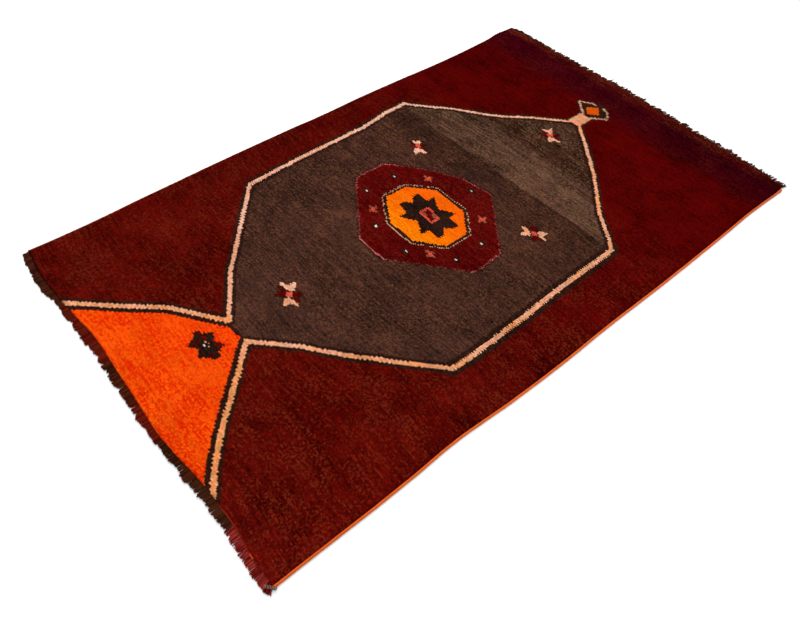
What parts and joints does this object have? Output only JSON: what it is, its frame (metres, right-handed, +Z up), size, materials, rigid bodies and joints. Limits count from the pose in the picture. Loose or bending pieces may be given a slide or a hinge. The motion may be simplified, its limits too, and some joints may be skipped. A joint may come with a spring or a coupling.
{
  "type": "hand-knotted turkish village rug",
  "caption": "Flat hand-knotted wool rug with a hexagon medallion, overcast long sides and short warp fringes at both ends.",
  "frame": {"origin": "middle of the part's box, on the surface that the rug lies on", "axes": "+X along the length, from the densely fringed end to the ragged end; +Y across; +Z up, through the pile"},
  "size_m": [2.1934, 1.32, 0.0095],
  "materials": {
    "wool_pile": "short knotted wool pile, dark madder red with a brown, orange and peach pattern",
    "orange_binding_wool": "overcast orange wool yarn",
    "dark_warp_wool": "dark brown plied wool warp ends"
  },
  "bodies": {
    "root": {"knotted_rug_body": "wool_pile", "near_selvedge": "orange_binding_wool", "far_selvedge": "orange_binding_wool", "left_fringe": "dark_warp_wool", "right_fringe": "dark_warp_wool"}
  },
  "joints": []
}
